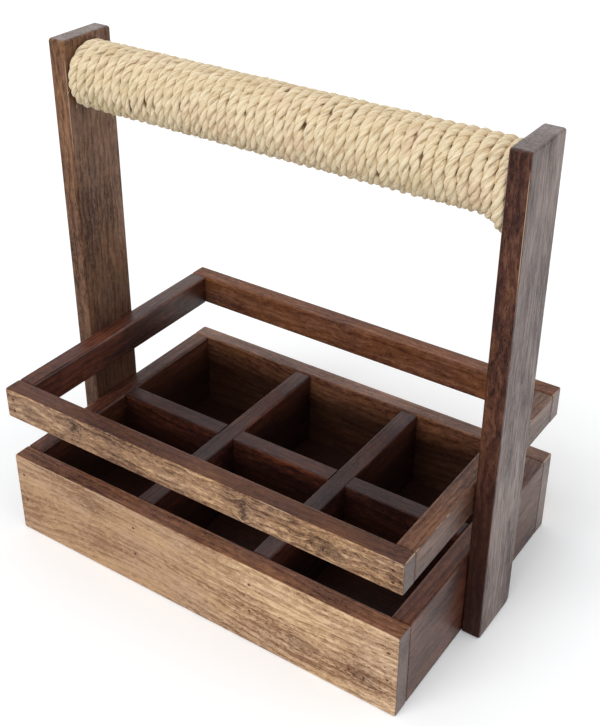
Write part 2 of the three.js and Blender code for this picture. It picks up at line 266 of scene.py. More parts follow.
def make_figure_group():
    inputs = {"Position": vector, "Pith across": 0.06, "Pith depth": 0.05}
    inputs |= {"Ring width": 0.004, "Waviness": 0.012, "Curl": 0.002}
    outputs = dict.fromkeys(mask_names, number)
    group, given, result = start_group("Timber figure", inputs, outputs)
    position = given["Position"]
    long_wave = minus(group, noise(group, position, 3.5, 9, 1), 0.5)
    short_wave = minus(group, noise(group, position, 34, 60), 0.5)
    bend = times(group, long_wave, given["Waviness"])
    bend = times_plus(group, short_wave, given["Curl"], bend)
    x, y, z = split(group, position)
    y_bent = compute(group, "ADD", y, bend)
    z_bent = compute(group, "ADD", z, bend)
    flowing = join(group, x, y_bent, z_bent)

    across = compute(group, "ADD", y_bent, given["Pith across"])
    deep = compute(group, "ADD", z_bent, given["Pith depth"])
    from_pith = length_of(group, join(group, 0, across, deep))
    ring_count = compute(group, "DIVIDE", from_pith, given["Ring width"])
    ring_count = times_plus(group, noise(group, flowing, 6, 90), ring_unevenness, ring_count)
    within = compute(group, "FRACT", ring_count)
    rise = fade(group, within, late_wood, ring_edge)
    fall = fade(group, within, 1, ring_edge)

    clouds = noise(group, flowing, 12, 38, 3, 0.6)
    ticks = noise(group, flowing, 330, 1350, 1)
    pore_limit = times_plus(group, clouds, -0.40, 0.84)
    masks = {
        "Rings": times(group, rise, fall),
        "Streaks": noise(group, flowing, 40, 520, 2, 0.6),
        "Fibres": noise(group, flowing, 130, 1500, 2, 0.6),
        "Mottle": noise(group, flowing, 150, 360, 3, 0.7),
        "Clouds": clouds,
        "Pores": fade(group, minus(group, ticks, pore_limit), 0, 0.06),
        "Flecks": fade(group, ticks, 0.36, 0.28),
        "Blush": fade(group, noise(group, flowing, 20, 55), 0.3, 0.7),
    }
    fill(group, result, masks)
    return group


figure_group = make_figure_group()
print("figure masks:", ", ".join(mask_names))

# %% [markdown]
# Knots
# Where a branch left the trunk, the grain parts and flows round it, and the branch itself shows as
# a dark eye. This group draws the position towards the middle of the knot, so that the figure
# spreads there and crowds together beside it. Knots can be placed one after another, each with its
# own middle and reach, and each darkens its eye.

# %% Knot group
def make_knot_group():
    inputs = {"Position": vector, "Eyes": 0.0, "Middle": vector}
    inputs |= {"Reach": (0.012, 0.02, 0.008), "Pull": 0.8, "Darkness": 0.6}
    outputs = {"Position": vector, "Eyes": number}
    group, given, result = start_group("Knot", inputs, outputs)
    to_middle = compute_vector(group, "SUBTRACT", given["Middle"], given["Position"])
    distance = length_of(group, compute_vector(group, "DIVIDE", to_middle, given["Reach"]))
    squared = compute(group, "POWER", distance, 2)
    near = compute(group, "EXPONENT", times(group, squared, -1))
    across_only = compute_vector(group, "MULTIPLY", to_middle, (0, 1, 1))
    pulled = scaled(group, across_only, times(group, near, given["Pull"]))
    speckle = noise(group, given["Position"], 300, 700, 2, 0.6)
    eye = fade(group, times_plus(group, speckle, 2.2, near), 1.45, 2.05)
    moved = compute_vector(group, "ADD", given["Position"], pulled)
    eyes = times_plus(group, eye, given["Darkness"], given["Eyes"])
    fill(group, result, {"Position": moved, "Eyes": eyes})
    return group


knot_group = make_knot_group()
print("nodes in a knot:", len(knot_group.nodes))

# %% [markdown]
# Stain and varnish
# The maker rubbed a dark stain into the boards and then a thin satin varnish. Stain soaks deepest
# into the pores and the soft wood, so its colour follows the figure. The hard rings take little of
# it, and as they were darker before, they show only faintly. One group turns the figure's masks
# into a colour, a roughness and a height. Each finish places it with its own four colours.

# %% Stain group
tone_shares = {"Clouds": 1.4, "Streaks": 0.7, "Fibres": 0.8, "Mottle": 1.3, "Rings": 0.3}
rough_shares = {"Fibres": 0.16, "Pores": 0.2}
height_shares = {"Fibres": 1.0, "Rings": 0.25, "Pores": -0.9}
smoothest = 0.34
usual_depth = 0.6
cool_tint = (0.95, 0.92, 1.10, 1)
warm_tint = (1.10, 1.0, 0.86, 1)


def weighted(tree, given, shares, total):
    for name, share in shares.items():
        total = times_plus(tree, given[name], share, total)
    return total


def make_stain_group():
    inputs = dict.fromkeys(mask_names, 0.5) | {"Eyes": 0.0}
    inputs |= dict.fromkeys(("Light", "Middle", "Dark", "Pore colour"), paint)
    inputs |= {"Contrast": 1.0, "Depth": usual_depth, "Hue drift": 1.0}
    outputs = {"Colour": paint, "Roughness": number, "Height": number}
    group, given, result = start_group("Stain", inputs, outputs)
    middle_tone = -0.5 * sum(tone_shares.values())
    tone = weighted(group, given, tone_shares, middle_tone)
    tone = times_plus(group, tone, given["Contrast"], given["Depth"])
    lighter = mix(group, fade(group, tone, 0.5, 0), given["Middle"], given["Light"])
    stained = mix(group, fade(group, tone, 0.5, 1), lighter, given["Dark"])
    flecked = tinted(group, stained, given["Flecks"], 0.5, given["Light"])
    pores = times_plus(group, times(group, given["Pores"], 0.7), given["Contrast"], given["Eyes"])
    spotted = mix(group, pores, flecked, given["Pore colour"])
    tint = mix(group, given["Blush"], cool_tint, warm_tint)
    colours = mix(group, given["Hue drift"], spotted, tint, "MULTIPLY")
    rough = weighted(group, given, rough_shares, smoothest)
    height = weighted(group, given, height_shares, 0)
    fill(group, result, {"Colour": colours, "Roughness": rough, "Height": height})
    return group


stain_group = make_stain_group()
print("nodes in the stain:", len(stain_group.nodes))

# %% [markdown]
# Worn arrises
# Hands and bottles rub the varnish and stain off the outer edges first, and leave a thin pale line
# that comes and goes. The box, the rail frame and an upright are each close to a plain block. The
# distance to the edges of such a block is the larger of the distances to two of its planes, taken
# for the nearest edge. Edges inside a block, such as those at a joint, keep their stain.

# %% Edge wear group
thinnest_line = 0.1 * millimetre


def make_wear_group():
    inputs = {"Position": vector, "Middle": vector, "Half size": vector, "Width": 0.0011, "Cover": 0.46}
    group, given, result = start_group("Edge wear", inputs, {"Wear": number})
    offset = compute_vector(group, "SUBTRACT", given["Position"], given["Middle"])
    inside = compute_vector(group, "SUBTRACT", given["Half size"], compute_vector(group, "ABSOLUTE", offset))
    to_end, to_face, to_top = split(group, inside)
    level_edge = compute(group, "MAXIMUM", to_top, compute(group, "MINIMUM", to_end, to_face))
    standing_edge = compute(group, "MAXIMUM", to_end, to_face)
    to_edge = compute(group, "MINIMUM", level_edge, standing_edge)
    patches = noise(group, given["Position"], 18, 18, 4, 0.65)
    bare = minus(group, patches, minus(group, 1, given["Cover"]))
    limit = times_plus(group, fade(group, bare, -0.06, 0.06), given["Width"], thinnest_line)
    fill(group, result, {"Wear": fade(group, to_edge, limit, times(group, limit, 0.3))})
    return group


wear_group = make_wear_group()
print("nodes in the edge wear:", len(wear_group.nodes))

# %% [markdown]
# Stains for the pieces
# The wood is of one kind, yet each piece took the stain in its own way. A stain is four colours,
# from the palest wood to the open pores, with how strongly the figure shows and how far the hue
# drifts. The long boards and rails were sanded paler on their outer faces, so they have a second
# stain there. End grain drinks more and turns darker, while the uprights' tops get a paler grey, a
# painted sheen of the varnish. Down in the bays a painted shade makes the box nearly black.

# %% Stains
def stain(light, middle, dark, pore, contrast=1.0, hue_drift=1.0):
    colours = {"light": light, "middle": middle, "dark": dark, "pore_colour": pore}
    finish = {name: colour(*shade) for name, shade in colours.items()}
    return finish | {"contrast": contrast, "hue_drift": hue_drift}


sanded_board = stain((220, 190, 154), (186, 153, 119), (138, 103, 75), (94, 64, 46), 1.0, 0.35)
sanded_rail = stain((198, 164, 126), (148, 115, 86), (94, 65, 48), (56, 36, 26), 1.2, 0.4)
brown = stain((140, 96, 68), (112, 71, 47), (78, 45, 31), (38, 22, 17), 1.2)
umber = stain((112, 76, 56), (86, 54, 38), (60, 36, 26), (34, 20, 15), 0.8)
walnut = stain((108, 66, 46), (80, 44, 29), (48, 25, 18), (24, 13, 10), 1.3)
smoked = stain((106, 72, 53), (78, 47, 35), (50, 27, 21), (26, 14, 12), 1.4, 0.7)
hazel = stain((144, 108, 80), (116, 84, 61), (76, 50, 35), (40, 24, 17), 1.2, 0.6)
nutmeg = stain((141, 97, 71), (109, 73, 52), (75, 43, 31), (39, 22, 16), 1.2, 0.8)
chestnut = stain((118, 84, 64), (90, 60, 44), (56, 34, 24), (28, 16, 12), 1.3, 0.8)
mahogany = stain((98, 57, 40), (68, 36, 25), (42, 21, 15), (22, 12, 9), 1.3)
bay_stain = stain((104, 57, 38), (66, 36, 28), (38, 19, 16), (16, 9, 8), 1.3)
worn_colour = colour(212, 180, 148)
# Painted shade for the depths of the bays.
bay_shade_colour = colour(28, 13, 9)
# Darker bluish tint for the tops of the dividers.
polished_colour = colour(32, 24, 27)
foot_colour = colour(44, 21, 17)
# End grain of the boards is darker; the paler grey on the uprights' tops is a painted sheen of the varnish.
end_grain_and_sheen_colour = {"X": colour(64, 44, 38), "Y": colour(50, 32, 27), "Z": colour(106, 94, 90)}
print("palest wood, in linear light:", [round(share, 2) for share in sanded_board["light"][:3]])

# %% Blocks and their sizes
wear_blocks = {
    "box": (solid_box("front_board")[0], solid_box("back_board")[1]),
    "frame": (solid_box("front_rail")[0], solid_box("back_rail")[1]),
    "left_upright": solid_box("left_upright"),
    "right_upright": solid_box("right_upright"),
}
half_length, half_depth, box_top = wear_blocks["box"][1]
wall = solid_box("front_board")[1].y - solid_box("front_board")[0].y
arris = 1 * millimetre
print("wall in mm:", round(wall / millimetre, 1))

# %% [markdown]
# Dark places
# Down in the bays a painted shade darkens the wood, more the deeper it lies below the rim, and the
# uprights are darker towards their feet. Both are masks worked out from the place on the carrier,
# since a mask in a picture would have to be made for every board by itself. The foot's mask also
# follows which way a face is turned, and is stronger on some faces than on others.

# %% Bay and foot groups
def faces(tree, normal, axis, start=0.5, end=0.9):
    share = split(tree, normal)["XYZ".index(axis)]
    return fade(tree, compute(tree, "ABSOLUTE", share), start, end)


# The bay mask is painted shade: it darkens the wood inside the rim, more the deeper it lies.
def make_bay_shade_group():
    rim = (half_length - wall / 2, half_depth - wall / 2, box_top)
    inputs = {"Position": vector, "Rim": rim, "Drop": 30 * millimetre}
    group, given, result = start_group("Bay shade", inputs, {"Mask": number})
    from_middle = compute_vector(group, "ABSOLUTE", given["Position"])
    to_end, to_face, down = split(group, compute_vector(group, "SUBTRACT", given["Rim"], from_middle))
    mask = fade(group, down, 0, given["Drop"])
    for distance in (to_end, to_face):
        mask = times(group, mask, compute(group, "GREATER_THAN", distance, 0))
    fill(group, result, {"Mask": mask})
    return group


# The uprights grow darker towards their feet, more on some faces than on others.
def make_foot_group():
    inputs = {"Position": vector, "Normal": vector, "Top": 0.23, "Side": 0.0, "Front": 0.0}
    group, given, result = start_group("Darker foot", inputs, {"Mask": number})
    height = split(group, given["Position"])[2]
    low = fade(group, height, given["Top"], times(group, given["Top"], 0.4))
    darkened = times(group, faces(group, given["Normal"], "X"), given["Side"])
    darkened = times_plus(group, faces(group, given["Normal"], "Y"), given["Front"], darkened)
    fill(group, result, {"Mask": times(group, low, darkened)})
    return group


bay_shade_group = make_bay_shade_group()
foot_group = make_foot_group()
print("nodes in the bay and foot:", len(bay_shade_group.nodes), len(foot_group.nodes))

# %% [markdown]
# Varnish bloom
# Thin varnish on dark wood turns grey where the light grazes it. This bloom is strong on the faces
# that look along the handle. On most tops it is slight at the front of the carrier and grows to the
# back, and the faces that look to the front have none. A clear coat gives it, and its weight
# follows the face's direction. Dark streaks stood out of the varnish, so they take less of it.

# %% Bloom group
def make_bloom_group():
    inputs = {"Position": vector, "Normal": vector, "Half depth": half_depth}
    inputs |= {"Side": 1.0, "Front": 0.0, "Back": 0.0, "Drift": 1.1, "Clouds": 0.5, "Streaks": 0.5}
    group, given, result = start_group("Varnish bloom", inputs, {"Weight": number})
    depth = split(group, given["Position"])[1]
    to_back = fade(group, depth, times(group, given["Half depth"], -1), given["Half depth"])
    growth = minus(group, given["Back"], given["Front"])
    top_bloom = times_plus(group, to_back, growth, given["Front"])
    weight = times(group, faces(group, given["Normal"], "X"), given["Side"])
    weight = times_plus(group, faces(group, given["Normal"], "Z"), top_bloom, weight)
    figure = compute(group, "ADD", given["Clouds"], given["Streaks"])
    uneven = times_plus(group, minus(group, 1, figure), given["Drift"], 1)
    fill(group, result, {"Weight": times(group, weight, uneven)})
    return group


bloom_group = make_bloom_group()
print("nodes in the bloom:", len(bloom_group.nodes))

# %% [markdown]
# Flush joints
# The CAD boards each have eased arrises, also where two boards meet, and there they would catch the
# light as a pale line. The real boards were sanded flush after they were joined, so the arrises at
# the corner joints are shaded as if they lay in the face. Their shape stays as it is. The group
# takes most of the sideways lean out of the normal close to the joint's plane.

# %% Flush joint group
flush_blocks = ("box", "frame")
flattened_share = 0.92


def make_flush_group():
    corner = (half_length - wall, half_depth - wall, 0)
    inputs = {"Position": vector, "Normal": vector, "Corner": corner, "Arris": arris}
    group, given, result = start_group("Flush joint", inputs, {"Normal": vector})
    from_middle = compute_vector(group, "ABSOLUTE", given["Position"])
    past_corner = compute_vector(group, "SUBTRACT", from_middle, given["Corner"])
    past_end, from_joint = split(group, past_corner)[:2]
    reach = times(group, given["Arris"], 1.4)
    near = fade(group, compute(group, "ABSOLUTE", from_joint), reach, times(group, given["Arris"], 1.2))
    near = times(group, near, compute(group, "GREATER_THAN", past_end, 0))
    x, y, z = split(group, given["Normal"])
    y_left = times(group, y, times_plus(group, near, -flattened_share, 1))
    flat = compute_vector(group, "NORMALIZE", join(group, x, y_left, z))
    fill(group, result, {"Normal": flat})
    return group


flush_group = make_flush_group()
print("nodes in the flush joint:", len(flush_group.nodes))

# %% [markdown]
# One board's material
# All boards share one way of being made. The position is turned so that the grain runs along the
# board, and shifted to the board's own place in the endless block of timber, so that no two look
# alike. The figure is cut there, and the stain colours it. Where a board has an outer stain, its
# depth in the carrier tells the outer face from the rest, and the figure gets livelier to the right.
# After that come end grain, bays, feet and worn arrises, each laid over the last.

# %% Parts of a board's material
calm_until = -0.06
lively_from = 0.10
lively_contrast = 1.4
end_share = 0.6
bay_shade_share = 0.82
box_wear = 0.6
worn_low, worn_high = 0.28, 0.37
grain_turns = {
    "X": (0, 0, 0),
    "Y": (0, 0, math.radians(-90)),
    "Z": (0, math.radians(90), 0),
}


def add_knots(tree, position, knots):
    eyes = None
    for values in knots:
        knotted = use_group(tree, knot_group, position=position, eyes=eyes, **values)
        position, eyes = knotted["Position"], knotted["Eyes"]
    return position, eyes


def cut_figure(tree, position, grain, block, **waves):
    turned = {"Vector": position, "Rotation": grain_turns[grain], "Location": block}
    on_board = wire(tree, "ShaderNodeMapping", turned)
    return use_group(tree, figure_group, position=on_board, **waves)


def stained_wood(tree, figure, eyes, finish):
    masks = {name.lower(): figure[name] for name in mask_names}
    return use_group(tree, stain_group, eyes=eyes, **finish, **masks)


def livelier_to_right(tree, position, calm, extra_depth):
    lively = fade(tree, split(tree, position)[0], calm_until, lively_from)
    return {
        "contrast": times_plus(tree, lively, lively_contrast - calm, calm),
        "depth": times_plus(tree, lively, -extra_depth, usual_depth + extra_depth),
    }


def outer_face(tree, position):
    depth = compute(tree, "ABSOLUTE", split(tree, position)[1])
    return fade(tree, depth, half_depth - 0.9 * arris, half_depth - 0.2 * arris)


def wear_mask(tree, position, block_name):
    low, high = wear_blocks[block_name]
    sizes = {"position": position, "middle": (low + high) / 2, "half_size": (high - low) / 2}
    if block_name in flush_blocks:
        return times(tree, use_group(tree, wear_group, **sizes)["Wear"], box_wear)
    worn = use_group(tree, wear_group, cover=0.62, width=0.0008, **sizes)["Wear"]
    height = split(tree, position)[2]
    above = fade(tree, height, worn_low, worn_low + 0.03)
    below = fade(tree, height, worn_high, worn_high - 0.01)
    return times(tree, worn, times(tree, above, below))


def bend_surface(tree, height, strength, depth, normal=None):
    inputs = {"Height": height, "Strength": strength, "Distance": depth, "Normal": normal}
    return wire(tree, "ShaderNodeBump", inputs)


# %% Board material
def board_material(
    name, block, grain, finish, bloom, drift=1.1, wear_block=None, outer_finish=None, calm=1.1,
    extra_depth=0, knots=(), curl=0.002, waviness=0.012, foot=None, polish=0,
):
    material, tree, shader = start_material(f"{name} wood")
    position = object_position(tree)
    normal = place(tree, "ShaderNodeNewGeometry").outputs["Normal"]
    if wear_block in flush_blocks:
        normal = use_group(tree, flush_group, position=position, normal=normal)["Normal"]
    warped, eyes = add_knots(tree, position, knots)
    figure = cut_figure(tree, warped, grain, block, curl=curl, waviness=waviness)
    stained = stained_wood(tree, figure, eyes, finish)
    base = stained["Colour"]
    if outer_finish:
        lively = livelier_to_right(tree, position, calm, extra_depth)
        sanded = stained_wood(tree, figure, eyes, outer_finish | lively)
        base = mix(tree, outer_face(tree, position), base, sanded["Colour"])
    # Darker end grain on the boards, and a painted sheen on the uprights' tops.
    base = tinted(tree, base, faces(tree, normal, grain, 0.8, 0.95), end_share, end_grain_and_sheen_colour[grain])
    # Painted shade down in the bays.
    base = tinted(tree, base, use_group(tree, bay_shade_group, position=position)["Mask"], bay_shade_share, bay_shade_colour)
    if polish:
        # Up-facing faces are tinted darker.
        base = tinted(tree, base, faces(tree, normal, "Z"), polish, polished_colour)
    # Darker towards the foot of an upright.
    if foot:
        darkened = use_group(tree, foot_group, position=position, normal=normal, **foot)
        base = mix(tree, darkened["Mask"], base, foot_colour)
    if wear_block:
        base = mix(tree, wear_mask(tree, position, wear_block), base, worn_colour)
    masks = {"clouds": figure["Clouds"], "streaks": figure["Streaks"], "drift": drift}
    masks |= dict(zip(("side", "front", "back"), bloom))
    coat = use_group(tree, bloom_group, position=position, normal=normal, **masks)
    fill(tree, shader, {
        "Base Color": base,
        "Roughness": stained["Roughness"],
        "Coat Weight": coat["Weight"],
        "Coat Roughness": 0.35,
        "Specular IOR Level": 0.15,
        "Normal": bend_surface(tree, stained["Height"], 0.35, 0.0003, normal),
    })
    return material


def finish_solid(node_name, material):
    for part in solids[node_name].material_slots:
        part.material = material


# %% [markdown]
# The box and the rail frame
# The front board and the front rail are what one sees first, so their main knots lie where the
# real ones do. A negative pull crowds the grain together instead of spreading it. The back pieces
# have the same outer stain, and the short pieces are darker. The three numbers after a stain are
# the bloom on the sides, on the top at the carrier's front, and on the top at its back.

# %% Knots of the front
def knot(along, up, reach, pull, darkness):
    middle = Vector((along * millimetre, -half_depth, up * millimetre))
    return {"middle": middle, "reach": Vector(reach) * millimetre, "pull": pull, "darkness": darkness}


board_knots = [
    knot(100, 24, (17, 20, 8), 0.7, 0.5),
    knot(150, 22, (16, 20, 8), 0.7, 0.5),
    knot(118, 50, (24, 20, 10), -0.5, 0),
    knot(20, 62, (34, 20, 8), 0.4, 0.25),
    knot(-90, 58, (30, 20, 7), 0.4, 0.2),
]
rail_knots = [
    knot(-104, 128, (8, 20, 7), 0.9, 0.8),
    knot(50, 121, (5, 20, 12), 0.7, 0.8),
    knot(-41, 119, (9, 20, 6), -0.6, 0),
    knot(118, 121, (22, 20, 9), 0.5, 0.5),
    knot(-150, 122, (14, 20, 10), 0.4, 0.3),
]
print("knots:", len(board_knots) + len(rail_knots))

# %% Finish the box and the rails
block_step = Vector((1.37, 0.53, 0.29))
board = {"outer_finish": sanded_board, "calm": 0.6, "extra_depth": 0.13, "waviness": 0.026}
rail = {"outer_finish": sanded_rail, "curl": 0.005}


def look(grain, finish, bloom, wear_block=None, **others):
    return {"grain": grain, "finish": finish, "bloom": bloom, "wear_block": wear_block} | others


def finish_pieces(looks, first_block, slot):
    for order, (name, values) in enumerate(looks.items()):
        wood = board_material(name, block_step * (order + first_block), **values)
        finish_solid(name, wood)
    print(slot, "on:", ", ".join(looks))


long_pieces = {
    "front_board": look("X", nutmeg, (1, 0.04, 0.04), "box", knots=board_knots, **board),
    "back_board": look("X", nutmeg, (1, 0.70, 0.70), "box", **board),
    "front_rail": look("X", umber, (1, 0.12, 0.12), "frame", knots=rail_knots, **rail),
    "back_rail": look("X", brown, (1, 0.12, 0.12), "frame", **rail),
}
short_pieces = {
    "left_end_board": look("Y", walnut, (1, 0.12, 0.40), "box"),
    "right_end_board": look("Y", walnut, (0.60, 0.24, 0.62), "box"),
    "left_rail": look("Y", mahogany, (0.8, 0.10, 0.70), "frame"),
    "right_rail": look("Y", chestnut, (0.68, 0.02, 0.5), "frame"),
}
finish_pieces(long_pieces, 1, "pale_wood")
finish_pieces(short_pieces, 5, "dark_wood")

# %% [markdown]
# Dividers and floor
# The dividers and the floor are as dark as the bays. The dividers' tops are tinted a darker bluish
# grey and carry a grey sheen of varnish, while the floor stays dull.

# %% Finish the dividers and the floor
divider_bloom = (0.5, 0.34, 0.34)
bay_pieces = {
    "floor_board": look("X", bay_stain, (0.1, 0.1, 0.1)),
    "long_divider": look("X", bay_stain, divider_bloom, polish=0.5),
    "left_cross_divider": look("Y", bay_stain, divider_bloom, polish=0.5),
    "right_cross_divider": look("Y", bay_stain, divider_bloom, polish=0.5),
}
finish_pieces(bay_pieces, 9, "bay_wood")

# %% [markdown]
# Uprights, bar and plugs
# The left upright is paler than the right one. Their edges are worn only in a stretch beside the
# handle, where hands pass. The plugs over the screws were cut from the same wood as their upright,
# and share its material, so the grain runs on over them.

# %% Finish the uprights, the bar and the plugs
upright = {"drift": 2.6, "curl": 0.006}
left_foot = {"side": 0.66, "front": 0.42}
right_foot = {"side": 0, "front": 0.72}
standing_pieces = {
    "left_upright": look("Z", hazel, (0.34, 0.8, 0.8), "left_upright", foot=left_foot, **upright),
    "right_upright": look("Z", smoked, (0.92, 0.8, 0.8), "right_upright", foot=right_foot, **upright),
    "handle_bar": look("X", walnut, (1, 0, 0)),
}
finish_pieces(standing_pieces, 13, "dark_wood")
for side in ("left", "right"):
    for row in ("high", "low", "rail"):
        finish_solid(f"{side}_plug_{row}", bpy.data.materials[f"{side}_upright wood"])

# %% [markdown]
# Nails and screws
# The nails are dull brown steel that was never meant to shine, set a little below the surface. The
# screws under the plugs are of the same steel. Rust shows as soft reddish patches.

# %% Finish the nails and screws
def make_steel():
    material, tree, shader = start_material("brown steel")
    position = object_position(tree)
    rust = fade(tree, noise(tree, position, 900, 900, 3, 0.6), 0.42, 0.62)
    fill(tree, shader, {
        "Base Color": mix(tree, rust, colour(104, 80, 64), colour(110, 76, 54)),
        "Metallic": times_plus(tree, rust, -0.6, 0.7),
        "Roughness": times_plus(tree, rust, 0.25, 0.55),
        "Normal": bend_surface(tree, rust, 0.3, 0.0001),
    })
    return material


steel = make_steel()
steel_names = [name for name in solids if "_nail_" in name or "_screw_" in name]
for name in steel_names:
    finish_solid(name, steel)
print("nails and screws:", len(steel_names), "materials so far:", len(bpy.data.materials))

# %% [markdown]
# The rope
# The handle is wound with about six metres of sisal rope, 8 mm thick, laid up to the right from
# three strands. A single ribbed tube would be quicker, but the dark clefts between the strands
# are what makes a rope look like one, so each strand is a tube of its own. First comes the line
# that the rope follows. It is an even helix, as in the CAD solid, that lies flat against each
# upright at first and ends in a bend into the bar. Under the right end the last turns pass over
# the tucked end and swell a little, which the plain CAD solid leaves out.

# %% Line of the rope
rope_turns = 43 + 2 / 3
rope_start = math.radians(30)
steps_per_turn = 96
flat_share = 0.55
flat_fade_turns = 6
bend_radius = 6 * millimetre
bend_steps = 12
tail_length = 7 * millimetre
rope_radius = 3.9 * millimetre
end_room = 7.6 * millimetre
swell_height = 7.5 * millimetre
swell_turns = 2.3
swell_angle = math.radians(250)
unevenness = 0.16 * millimetre
rope_low, rope_high = solid_box("rope_winding")
bar_low, bar_high = solid_box("handle_bar")
bar_height = (bar_low.z + bar_high.z) / 2
outer_radius = 25.9 * millimetre
wind_radius = outer_radius - rope_radius
wind_run = rope_high.x - rope_low.x - end_room


def ease(share):
    share = min(max(share, 0), 1)
    return share * share * (3 - 2 * share)


def flat_lag(turns):
    part = turns % 1
    left = max(0, 1 - turns / flat_fade_turns)
    return left * (part - ease((part - flat_share) / (1 - flat_share)))


def radial(angle):
    return Vector((0, math.cos(angle), math.sin(angle)))


def wander(turns, start):
    return 0.6 * math.sin(5.3 * turns + start) + 0.4 * math.sin(11.7 * turns + 2 * start)


def rope_point(turns):
    angle = rope_start + turns * 2 * math.pi
    rest = rope_turns - turns
    lag = flat_lag(turns) - flat_lag(rest)
    under = max(0, math.cos(angle - swell_angle)) ** 2
    swell = swell_height * ease(1 - rest / swell_turns) ** 2 * under
    x = wind_run * ((turns - lag) / rope_turns - 0.5)
    x += unevenness * wander(turns, 0.7) * ease(turns) * ease(rest)
    reach = wind_radius + swell + unevenness * wander(turns, 2.2)
    return radial(angle) * reach + Vector((x, 0, bar_height))


def tail_points(turns, way):
    angle = rope_start + turns * 2 * math.pi
    start = rope_point(turns)
    centre = start - radial(angle) * bend_radius
    reach = (start - Vector((start.x, 0, bar_height))).length
    lead = math.asin(bend_radius / (reach - bend_radius))
    turn = way * (math.pi / 2 + lead)
    inward = -radial(angle + way * lead)
    shares = [step / bend_steps for step in range(1, bend_steps + 1)]
    bend = [centre + radial(angle + turn * share) * bend_radius for share in shares]
    return bend + [bend[-1] + inward * tail_length * share for share in shares]


def rope_line():
    steps = round(rope_turns * steps_per_turn)
    winding = [rope_point(rope_turns * step / steps) for step in range(steps + 1)]
    return tail_points(0, -1)[::-1] + winding + tail_points(rope_turns, 1)


line = rope_line()
line_length = sum((after - before).length for before, after in zip(line, line[1:]))
print("rope length in metres:", round(line_length, 2), "points:", len(line))

# %% [markdown]
# Strands by Geometry Nodes
# The three strands differ only in where they start round the rope, so one node tree makes them
# all. It moves each point of the line sideways, turning steadily with the length, and sweeps a
# round outline along the result. The path of the strands is wider than it is deep, because tight
# turns press one another flat. It also notes on the surface how far along the strand a point
# lies, its place round the strand, and how deep it lies in a cleft, for the fibres of the finish.

# %% Helpers for geometry trees
geometry = "NodeSocketGeometry"
substance = "NodeSocketMaterial"


def capture(tree, shape, name, kind, value):
    node = place(tree, "GeometryNodeCaptureAttribute")
    node.capture_items.new(kind, name)
    fill(tree, node, {"Geometry": shape, name: value})
    return node.outputs["Geometry"], node.outputs[name]


def store(tree, shape, name, kind, value):
    inputs = {"Geometry": shape, "Name": name, "Value": value}
    return wire(tree, "GeometryNodeStoreNamedAttribute", inputs, data_type=kind, domain="POINT")


def circle(tree, sides, radius):
    return wire(tree, "GeometryNodeCurvePrimitiveCircle", {"Resolution": sides, "Radius": radius})


def sweep(tree, path, profile, size=None):
    inputs = {"Curve": path, "Profile Curve": profile, "Scale": size, "Fill Caps": True}
    return wire(tree, "GeometryNodeCurveToMesh", inputs)


def finish_tree(tree, shape, given, result):
    real = wire(tree, "GeometryNodeRealizeInstances", {"Geometry": shape})
    coated = {"Geometry": real, "Material": given["Material"]}
    fill(tree, result, {"Geometry": wire(tree, "GeometryNodeSetMaterial", coated)})


# %% Strand tree
lay_length = 26 * millimetre
fibre_lay = 24 * millimetre
thinnest_strand = 0.81
strand_swing = 0.4


def make_strand_tree():
    inputs = {
        "Geometry": geometry,
        "Outward offset": 1.6 * millimetre,
        "Sideways offset": 2.05 * millimetre,
        "Strand radius": 2.3 * millimetre,
        "Lay length": lay_length,
        "Start angle": 0.0,
        "Drift": 5.0,
        "Fibre twist": -2 * math.pi / fibre_lay,
        "Sides": 10,
        "Material": substance,
    }
    tree, given, result = start_group("Strand", inputs, {"Geometry": geometry}, "GeometryNodeTree")
    along = place(tree, "GeometryNodeSplineParameter").outputs["Length"]
    tangent = wire(tree, "GeometryNodeInputTangent")
    out = compute_vector(tree, "NORMALIZE", compute_vector(tree, "CROSS_PRODUCT", tangent, (1, 0, 0)))
    side = compute_vector(tree, "CROSS_PRODUCT", tangent, out)
    position = wire(tree, "GeometryNodeInputPosition")
    shape, along = capture(tree, given["Geometry"], "Along", "FLOAT", along)
    shape, centre = capture(tree, shape, "Centre", "VECTOR", position)

    turned = times(tree, compute(tree, "DIVIDE", along, given["Lay length"]), 2 * math.pi)
    turned = compute(tree, "ADD", turned, given["Start angle"])
    drift = noise(tree, join(tree, along, 0, 0), 16, 1)
    turned = times_plus(tree, drift, given["Drift"], turned)
    up_share = times(tree, compute(tree, "COSINE", turned), given["Outward offset"])
    side_share = times(tree, compute(tree, "SINE", turned), given["Sideways offset"])
    shift = compute_vector(tree, "ADD", scaled(tree, out, up_share), scaled(tree, side, side_share))
    path = wire(tree, "GeometryNodeSetPosition", {"Geometry": shape, "Offset": shift})

    outline = circle(tree, given["Sides"], given["Strand radius"])
    share = compute(tree, "DIVIDE", wire(tree, "GeometryNodeInputIndex"), given["Sides"])
    outline, share = capture(tree, outline, "Round", "FLOAT", share)
    thickness = noise(tree, join(tree, along, given["Start angle"], 0), 90, 1, 1)
    thickness = times_plus(tree, thickness, strand_swing, thinnest_strand)
    shape = sweep(tree, path, outline, thickness)

    angle = times_plus(tree, along, given["Fibre twist"], times(tree, share, 2 * math.pi))
    round_y = times(tree, compute(tree, "COSINE", angle), given["Strand radius"])
    round_z = times(tree, compute(tree, "SINE", angle), given["Strand radius"])
    on_strand = join(tree, along, round_y, round_z)
    shape = store(tree, shape, "strand_place", "FLOAT_VECTOR", on_strand)
    depth = length_of(tree, compute_vector(tree, "SUBTRACT", position, centre))
    shape = store(tree, shape, "rope_depth", "FLOAT", compute(tree, "DIVIDE", depth, rope_radius))
    finish_tree(tree, wire(tree, "GeometryNodeSetShadeSmooth", {"Geometry": shape}), given, result)
    return tree


